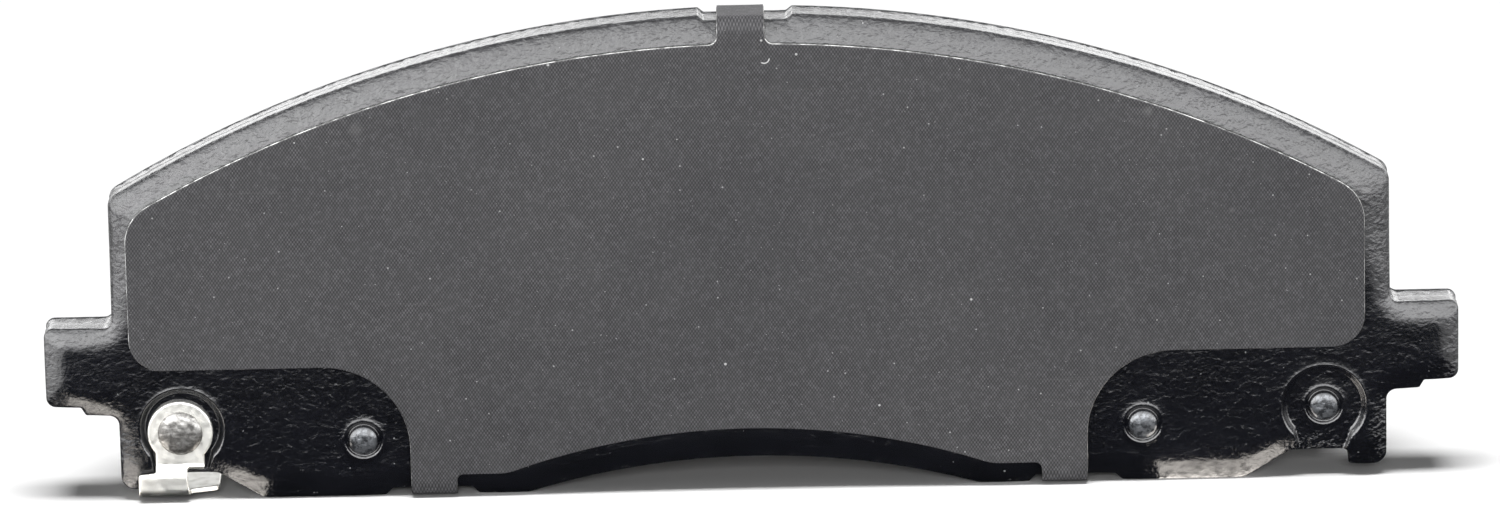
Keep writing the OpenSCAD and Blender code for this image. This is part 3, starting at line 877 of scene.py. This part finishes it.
def shim_sheet(name, d, a, b, mat, soft=0.04, wave=0.0, grid=1.7):
    loop = blank(d)
    pts = [inner_points(loop, [soft, soft * 2.2, 0.35, 0.9], grid)]
    for cx, s0, s1 in ((0, TOP_SEAT - R1 - 0.6, S_TOP), (-(TAB_IN + TAB_OUT) / 2, S_LOW, LOW_SEAT + R1 + 0.6), ((TAB_IN + TAB_OUT) / 2, S_LOW, LOW_SEAT + R1 + 0.6)):
        gx, gs = np.meshgrid(np.arange(cx - 2.6, cx + 2.61, 0.47), np.arange(s0, s1, 0.17))
        pts.append(np.stack([gx.ravel(), gs.ravel()], 1))
    pts = np.concatenate(pts)
    pts = pts[inside(pts, loop)]
    dd, _ = seg_distance(pts, loop)
    pts = thin_out(pts[dd > soft * 0.8], soft * 0.8)

    def surf(v, off, sign):
        dist, _ = seg_distance(v, loop)
        k = np.clip(1 - dist / soft, 0, 1) ** 2 * soft * 0.8
        return fold(v, off - sign * k + wave * noise2(v, 16.0, 21, 2) * np.clip(dist / 3, 0, 1))
    n2 = normals_2d(loop)
    rings = []
    for k in (0.15, 0.5, 0.85):
        rings.append(fold(loop - 0 * n2, (b - soft * 0.8) * (1 - k) + (a + soft * 0.8) * k))
    seen = []

    def keep(v):
        seen.append(v)
        return v
    o = solid(name, loop, pts, pts, lambda v: surf(keep(v), b, 1), lambda v: surf(keep(v), a, -1), mat, rings)
    plan = np.concatenate(seen + [loop] * len(rings))
    at = o.data.attributes.new("blank", "FLOAT_VECTOR", "POINT")
    at.data.foreach_set("vector", np.stack([plan[:, 0], np.zeros(len(plan)), plan[:, 1]], 1).astype(np.float32).ravel())
    return o


def flat(v, y):
    return np.stack([v[:, 0], np.broadcast_to(y, len(v)), v[:, 1]], 1)


# ---------------------------------------------------------------- friction block and the layers behind it
def end_chamfer(x):
    """How far the block's rotor side is cut back at the ends."""
    u = np.abs(x)
    return np.clip((u - 67.05) / (81.05 - 67.05), 0, None) * 6.0


SLOT_W, SLOT_D = 3.2, 8.0


def build_friction():
    loop = block_outline(1.0)
    # outline points where the slot and the chamfers begin
    def insert(loop, xs):
        out = []
        n = len(loop)
        for i in range(n):
            a, b = loop[i], loop[(i + 1) % n]
            out.append(a)
            cuts = [(x - a[0]) / (b[0] - a[0]) for x in xs if (a[0] - x) * (b[0] - x) < 0]
            for t in sorted(cuts):
                if 0.02 < t < 0.98:
                    out.append(a + (b - a) * t)
        return np.array(out)
    h = SLOT_W / 2
    xs = [s * v for s in (-1, 1) for v in (h - 0.06, h - 0.02, h + 0.02, h + 0.14, 67.05, 66.7, 67.4)]
    loop = insert(loop, xs)
    pts = inner_points(loop, [0.08, 0.2, 0.5, 1.1], 1.1, jitter=0.12)
    zs = np.arange(1, 64, 0.6)
    cols = np.array([(s * v, z) for s in (-1, 1) for v in (h - 0.3, h - 0.06, h - 0.02, h + 0.02, h + 0.14, h + 0.4, 66.7, 67.05, 67.4) for z in zs])
    cols = cols[inside(cols, loop)]
    dd, _ = seg_distance(cols, loop)
    cols = cols[dd > 0.3]
    near = np.zeros(len(pts), bool)
    for s in (-1, 1):
        near |= np.abs(pts[:, 0] - s * h) < 0.5
    pts = thin_out(np.concatenate([cols, pts[~near]]), 0.03)

    def back(v):
        dist, _ = seg_distance(v, loop)
        x = np.abs(v[:, 0])
        cut = end_chamfer(v[:, 0])
        slot = np.interp(x, [h - 0.06, h - 0.02, h + 0.02, h + 0.14], [SLOT_D, SLOT_D - 0.15, 0.16, 0.0])
        edge = 0.22 * np.clip(1 - dist / 0.35, 0, 1) ** 2 + 0.25 * np.clip(noise2(v, 3.0, 31) - 0.55, 0, 1) * np.clip(1 - dist / 1.2, 0, 1)
        y = Y_LIN1 - cut - slot - np.where(slot < 1, edge, 0) - 0.025 * (1 + noise2(v, 1.8, 32))
        return flat(v, np.maximum(y, Y_LIN0 + 1.9))
    yb_ = back(loop)[:, 1]
    n2 = normals_2d(loop)
    rings = []
    for k in (0.02, 0.1, 0.25, 0.4, 0.55, 0.7, 0.85, 0.96):
        y = Y_LIN0 + (yb_ - Y_LIN0) * k
        p3 = np.stack([loop[:, 0], y, loop[:, 1]], 1)
        q = loop + n2 * (0.06 * (1 + noise2(p3, 2.0, 33)) + 0.03 * (1 + noise2(p3, 0.7, 34, 1)))[:, None]
        rings.append(np.stack([q[:, 0], y, q[:, 1]], 1))
    fp = inner_points(loop, [0.3], 3.0)
    return solid("friction_block_visual", loop, fp, pts, lambda v: flat(v, Y_LIN0), back, M_FRICTION, rings)


def build_layer(name, d, y0, y1, mat, rough, seed, steps=(0.1, 0.35, 0.65, 0.9), ragged=0.0):
    loop = block_outline(d)
    n2 = normals_2d(loop)
    if ragged:
        loop = loop + n2 * (ragged * (1 + noise2(loop, 2.5, seed + 9)))[:, None]
    fp = inner_points(loop, [0.25], 3.0)
    rings = []
    for k in steps:
        p3 = np.stack([loop[:, 0], np.full(len(loop), y0 + (y1 - y0) * k), loop[:, 1]], 1)
        q = loop + n2 * (rough * (1 + noise2(p3, 1.4, seed)))[:, None]
        rings.append(np.stack([q[:, 0], p3[:, 1], q[:, 1]], 1))
    return solid(name, loop, fp, fp, lambda v: flat(v, y0), lambda v: flat(v, y1), mat, rings)


# ---------------------------------------------------------------- wear indicator
IND_T = 0.7


def build_indicator():
    # the middle of the strip's thickness, seen from the side: [y, z, radius]
    mid = [(YF + 0.55, 14.2, 0), (YF + 0.55, 4.95, 0.55), (YF - 0.5, 3.78, 0.55), (YF - 0.5, 1.1, 0.85), (YF + 15.15, 1.1, 0.75), (YF + 15.15, 0.0, 0)]
    path = resample(rounded(mid, closed=False, step=6), 0.35, closed=False)
    seg = np.linalg.norm(np.diff(path, axis=0), axis=1)
    S = np.concatenate([[0], np.cumsum(seg)])
    tan = np.gradient(path, S, axis=0)
    tan /= np.linalg.norm(tan, axis=1)[:, None]
    nor = np.stack([tan[:, 1], -tan[:, 0]], 1)      # towards -Y on the vertical part, down under the plate

    def at(s, t):
        y = np.interp(s, S, path[:, 0]) + t * np.interp(s, S, nor[:, 0])
        z = np.interp(s, S, path[:, 1]) + t * np.interp(s, S, nor[:, 1])
        return y, z

    def s_of(z=None, y=None):
        """Where the path first comes down to height z, or reaches depth y under the plate."""
        if z is not None:
            i = np.argmax(path[:, 1] <= z)
            a, b = path[i - 1], path[i]
            return S[i - 1] + (S[i] - S[i - 1]) * (a[1] - z) / (a[1] - b[1])
        i = np.argmax((path[:, 0] >= y) & (path[:, 1] < 2))
        a, b = path[i - 1], path[i]
        return S[i - 1] + (S[i] - S[i - 1]) * (y - a[0]) / (b[0] - a[0])
    x0 = RIV[0]
    e = 4.35
    s_eye = s_of(z=RIV[1])
    w0 = math.asin((x0 + 79.7) / e)     # where the neck's sides leave the eye
    w1 = math.asin((-73.2 - x0) / e)
    eye = [(x0 + e * math.sin(w), s_eye - e * math.cos(w), 0) for w in np.linspace(math.pi - w1, -(math.pi - w0), 48)]
    # from the neck's right side, over the top, to its left side (s grows downward)
    q = [(x, s, r) for x, s, r in eye]
    q += [(-79.7, s_of(z=4.1) + 0.1, 0.3), (-82.0, s_of(z=3.86), 0.35), (-82.0, s_of(y=YF + 7.5), 2.0),
          (-80.8, s_of(y=YF + 14.2), 0.5), (-80.8, S[-1], 0.15), (-72.6, S[-1], 0.15), (-72.6, s_of(y=YF + 14.2), 0.5),
          (-71.4, s_of(y=YF + 7.5), 2.0), (-71.4, s_of(y=YF + 2.2), 0.8), (-75.2, s_of(y=YF + 0.75), 0.4),
          (-75.5, s_of(z=3.7), 0.3), (-75.5, s_of(z=4.6), 0.3), (-73.2, s_of(z=4.57), 0.25)]
    loop = resample(rounded(q), 0.3)
    pts = inner_points(loop, [0.05, 0.12, 0.3], 0.5)
    gx, gs = np.meshgrid(np.arange(-82, -71, 0.45), np.arange(0, S[-1], 0.14))
    g = np.stack([gx.ravel(), gs.ravel()], 1)
    keep = (np.abs(np.interp(g[:, 1], S, path[:, 1]) - 4.3) < 1.1) | ((np.interp(g[:, 1], S, path[:, 0]) < YF + 0.8) & (np.interp(g[:, 1], S, path[:, 1]) < 2.4)) | (g[:, 1] > S[-1] - 2.2)
    g = g[keep]
    g = g[inside(g, loop)]
    d, _ = seg_distance(g, loop)
    pts = thin_out(np.concatenate([pts, g[d > 0.1]]), 0.05)
    hole = circle((x0, s_eye), 1.65, 40)
    r = np.hypot(pts[:, 0] - x0, pts[:, 1] - s_eye)
    pts = pts[r > 1.85]

    def surf(v, t):
        dist, _ = seg_distance(v, loop)
        k = np.clip(1 - dist / 0.13, 0, 1) ** 2 * 0.12
        y, z = at(v[:, 1], t - np.sign(t) * k)
        return np.stack([v[:, 0], y, np.maximum(z, 0.0)], 1)
    h = IND_T / 2
    rings = []
    for t in (0.6, 0.0, -0.6):
        y, z = at(loop[:, 1], h * t)
        rings.append(np.stack([loop[:, 0], y, np.maximum(z, 0.0)], 1))
    return solid("wear_indicator_visual", loop, pts, pts, lambda v: surf(v, h), lambda v: surf(v, -h), M_ZINC, rings, 45, [hole])


def lathe(name, profile, centre, mat, n=96, dent=None, sharp=35):
    """A turned piece about a line along Y: profile is [radius, y] from one end's axis to the other's."""
    verts, rows = [], []
    for r, y in profile:
        if r < 1e-6:
            rows.append([len(verts)])
            verts.append((centre[0], y, centre[1]))
        else:
            rows.append(list(range(len(verts), len(verts) + n)))
            for i in range(n):
                a = 2 * math.pi * i / n
                verts.append((centre[0] + r * math.cos(a), y, centre[1] + r * math.sin(a)))
    faces = []
    for a, b in zip(rows[:-1], rows[1:]):
        for i in range(n):
            j = (i + 1) % n
            if len(a) == 1:
                faces.append((a[0], b[i], b[j]))
            elif len(b) == 1:
                faces.append((a[i], b[0], a[j]))
            else:
                faces.append((a[i], b[i], b[j], a[j]))
    v = np.array(verts)
    if dent is not None:
        v = dent(v)
    return make(name, v, faces, mat, sharp)


def build_rivet():
    y_eye = YF + 0.2
    R = 2.98
    prof = [(0.0, y_eye - 0.80)]
    prof += [(r, y_eye - 0.80 + dy) for r, dy in ((0.3, 0.0), (0.7, 0.01), (1.1, 0.02), (1.5, 0.045), (1.9, 0.09), (2.2, 0.15), (2.45, 0.23), (2.65, 0.33), (2.8, 0.45), (2.9, 0.57), (R, 0.72))]
    prof += [(2.96, y_eye - 0.02), (2.9, y_eye), (1.6, y_eye), (1.6, YB - 0.02), (2.55, YB), (2.68, YB + 0.1), (2.7, YB + 0.3), (2.6, YB + 0.5), (2.35, YB + 0.63),
             (1.9, YB + 0.7), (1.3, YB + 0.66), (1.05, YB + 0.56), (0.92, YB + 0.36), (0.9, YB - 0.5), (0.88, YB - 0.66), (0.75, YB - 0.7), (0.0, YB - 0.7)]

    def dent(v):
        r = np.hypot(v[:, 0] - RIV[0], v[:, 2] - RIV[1])
        front = v[:, 1] < y_eye - 0.3
        p = v[:, [0, 2]]
        v[:, 1] += np.where(front, 0.035 * (noise2(p, 2.1, 41) + 0.5) * np.clip((2.7 - r) / 0.8, 0, 1), 0)
        tail = v[:, 1] > YB + 0.45
        v[:, 1] -= np.where(tail, 0.05 * (noise2(p, 1.4, 42) + 0.6), 0)
        return v
    dense = [prof[0]]
    for a, b in zip(prof[:-1], prof[1:]):
        k = 3 if a[1] < y_eye - 0.4 and b[1] < y_eye - 0.4 else 1
        for i in range(1, k + 1):
            dense.append((a[0] + (b[0] - a[0]) * i / k, a[1] + (b[1] - a[1]) * i / k))
    return lathe("indicator_rivet_visual", dense, RIV, M_RIVET, 96, dent)


# ---------------------------------------------------------------- camera, floor and light
def look(e_deg, az_deg, target, dist, roll_deg):
    e, a = math.radians(e_deg), math.radians(az_deg)
    back = Vector((math.sin(a) * math.cos(e), -math.cos(a) * math.cos(e), math.sin(e)))
    cam = bpy.data.cameras.new("camera")
    cam.sensor_width = 36
    cam.lens = 36 * dist / 0.19868
    cam.clip_start, cam.clip_end = 0.05, 20
    o = bpy.data.objects.new("camera", cam)
    scene.collection.objects.link(o)
    o.rotation_mode = "QUATERNION"
    q = (-back).to_track_quat("-Z", "Y")
    o.rotation_quaternion = q @ Matrix.Rotation(math.radians(-roll_deg), 4, "Z").to_quaternion()
    o.location = Vector(target) + back * dist
    scene.camera = o
    return o


look(17.0, 0.0, (0.00006, YF * MM, 0.033), 1.35, 1.2)

me = bpy.data.meshes.new("floor")
me.from_pydata([(-3, -2.5, 0), (3, -2.5, 0), (3, 3.5, 0), (-3, 3.5, 0)], [], [(0, 1, 2, 3)])
floor = bpy.data.objects.new("floor", me)
scene.collection.objects.link(floor)
mf, nt, bs = material("floor")
bs.inputs["Base Color"].default_value = (0.93, 0.93, 0.93, 1)
bs.inputs["Roughness"].default_value = 0.9
bs.inputs["Specular IOR Level"].default_value = 0.0
floor.data.materials.append(mf)
floor.visible_glossy = False

scene.view_settings.view_transform = "Standard"
scene.view_settings.look = "None"


def light(name, loc, target, size, power, colour=(1, 1, 1), glossy=True, diffuse=True):
    d = bpy.data.lights.new(name, "AREA")
    d.shape = "RECTANGLE"
    d.size, d.size_y = size
    d.energy = power
    d.color = colour
    o = bpy.data.objects.new(name, d)
    scene.collection.objects.link(o)
    o.location = loc
    o.rotation_mode = "QUATERNION"
    o.rotation_quaternion = (Vector(target) - Vector(loc)).to_track_quat("-Z", "Y")
    o.visible_camera = False
    o.visible_glossy = glossy
    o.visible_diffuse = diffuse
    return o


# a soft studio: bright above and to the sides, dark low in front, white behind
world = bpy.data.worlds.new("studio")
scene.world = world
world.use_nodes = True
world.cycles.sampling_method = "NONE"      # so that only the pad's own rays meet it, each kind at its own strength
wn = world.node_tree
bg = wn.nodes["Background"]
tc = wn.nodes.new("ShaderNodeTexCoord")
sp = wn.nodes.new("ShaderNodeSeparateXYZ")
wn.links.new(tc.outputs["Generated"], sp.inputs[0])
dx, dy, dz = sp.outputs


def smooth(x, a, b):
    n = wn.nodes.new("ShaderNodeMapRange")
    n.interpolation_type = "SMOOTHSTEP"
    for i, val in ((1, a), (2, b), (3, 0.0), (4, 1.0)):
        n.inputs[i].default_value = val
    wn.links.new(x, n.inputs[0])
    return n.outputs[0]


def M(op, a, b):
    return math_node(wn, op, a, b)


front = smooth(dy, 0.15, -0.25)                     # 1 in front
up = smooth(dz, -0.10, 0.10)                        # 1 above the horizon
high = smooth(dz, 0.45, 0.85)                       # 1 towards the ceiling
sides = smooth(M("ABSOLUTE", dx, 0.0), 0.02, 0.17)
left = smooth(M("MULTIPLY", dx, -1.0), 0.1, 0.5)
# behind: a bright band above the horizon; in front: wide soft boxes up to the ceiling
band = M("MULTIPLY", smooth(dz, 0.0, 0.14), smooth(dz, 0.52, 0.26))
back_level = M("ADD", 0.55, M("MULTIPLY", band, M("ADD", 0.95, M("MULTIPLY", sides, 1.6))))
front_level = M("ADD", M("ADD", 1.1, M("MULTIPLY", up, 3.8)), M("MULTIPLY", left, 1.5))
front_level = M("MULTIPLY", front_level, M("SUBTRACT", 1.0, M("MULTIPLY", high, 0.35)))
level = M("ADD", M("MULTIPLY", front_level, front), M("MULTIPLY", M("SUBTRACT", 1.0, front), back_level))
lp = wn.nodes.new("ShaderNodeLightPath")
# the walls light the pad less than they show in its gloss
soft = M("SUBTRACT", 1.0, M("MULTIPLY", lp.outputs["Is Diffuse Ray"], 0.975))
cam_ray = lp.outputs["Is Camera Ray"]
final = M("ADD", cam_ray, M("MULTIPLY", M("SUBTRACT", 1.0, cam_ray), M("MULTIPLY", level, soft)))
wn.links.new(final, bg.inputs["Strength"])
bg.inputs["Color"].default_value = (1, 1, 1, 1)


def card(name, x0, x1, y0, y1, z, strength, colour=(1, 1, 1)):
    """A card low in front of the pad, which only shows in its gloss."""
    me = bpy.data.meshes.new(name)
    me.from_pydata([(x0 * MM, y0 * MM, z * MM), (x1 * MM, y0 * MM, z * MM), (x1 * MM, y1 * MM, z * MM), (x0 * MM, y1 * MM, z * MM)], [], [(0, 1, 2, 3)])
    o = bpy.data.objects.new(name, me)
    scene.collection.objects.link(o)
    m = bpy.data.materials.new(name)
    m.use_nodes = True
    t = m.node_tree
    t.nodes.clear()
    e, out = t.nodes.new("ShaderNodeEmission"), t.nodes.new("ShaderNodeOutputMaterial")
    e.inputs["Color"].default_value = (*colour, 1)
    e.inputs["Strength"].default_value = strength
    t.links.new(e.outputs[0], out.inputs["Surface"])
    if strength > 1:
        n = noise(t, coords(t), 0.9, 3.0, 0.6)
        t.links.new(math_node(t, "MULTIPLY", ramp(t, n, [(0.36, 0.08), (0.56, 1.0)]), strength), e.inputs["Strength"])
    o.data.materials.append(m)
    o.visible_camera = o.visible_diffuse = o.visible_shadow = o.visible_transmission = False
    return o


card("dark_card", -112, 112, -135, 30, -1.2, 0.02)
card("cream_left", -90, -83.5, -16, -7.5, -0.4, 6.5, (1.0, 0.94, 0.87))
card("cream_slope", -71.6, -65.6, -15, -7.5, -0.4, 6.5, (1.0, 0.94, 0.87))
card("cream_ear", -96, -84, -24, -13, -0.3, 6.5, (1.0, 0.94, 0.87))
card("cream_right", 54, 72, -15, -7.5, -0.4, 6.5, (1.0, 0.94, 0.87))

light("key_top", (0, -0.24, 1.80), (0, 0.02, 0), (1.05, 0.36), 38.0, glossy=False)
light("fill_front", (0, -1.90, 0.75), (0, 0, 0.03), (1.2, 0.5), 9.0, glossy=False)

# ---------------------------------------------------------------- the pieces
pieces = [
    (build_plate(), "backing_plate", "plate_paint"),
    (build_layer("bond_film_visual", 1.3, YB, Y_UND, M_BOND, 0.03, 51, (0.5,), 0.05), "bond_film", "bond_film"),
    (build_layer("underlayer_visual", 1.0, Y_UND, Y_LIN0, M_UNDER, 0.08, 52), "underlayer", "underlayer"),
    (build_friction(), "friction_lining", "friction"),
    (build_layer("shim_adhesive_visual", 0.8, YF - GLUE, YF, M_GLUE, 0.02, 53, (0.5,), 0.08), "shim_adhesive", "shim_adhesive"),
    (shim_sheet("shim_inner_coating_visual", 0.12, GLUE, GLUE + INNER, M_RUBBER, 0.03), "shim_inner_coating", "shim_rubber"),
    (shim_sheet("shim_core_visual", 0.0, GLUE + INNER, GLUE + INNER + CORE, M_CORE, 0.07), "shim_core", "shim_steel"),
    (shim_sheet("shim_outer_coating_visual", 0.07, GLUE + INNER + CORE, SHIM_T, M_COAT, 0.06), "shim_outer_coating", "shim_coating"),
    (build_indicator(), "wear_indicator", "zinc_steel"),
    (build_rivet(), "indicator_rivet", "rivet_steel"),
]
for o, node, slot in pieces:
    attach(o, "root")
    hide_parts(node)
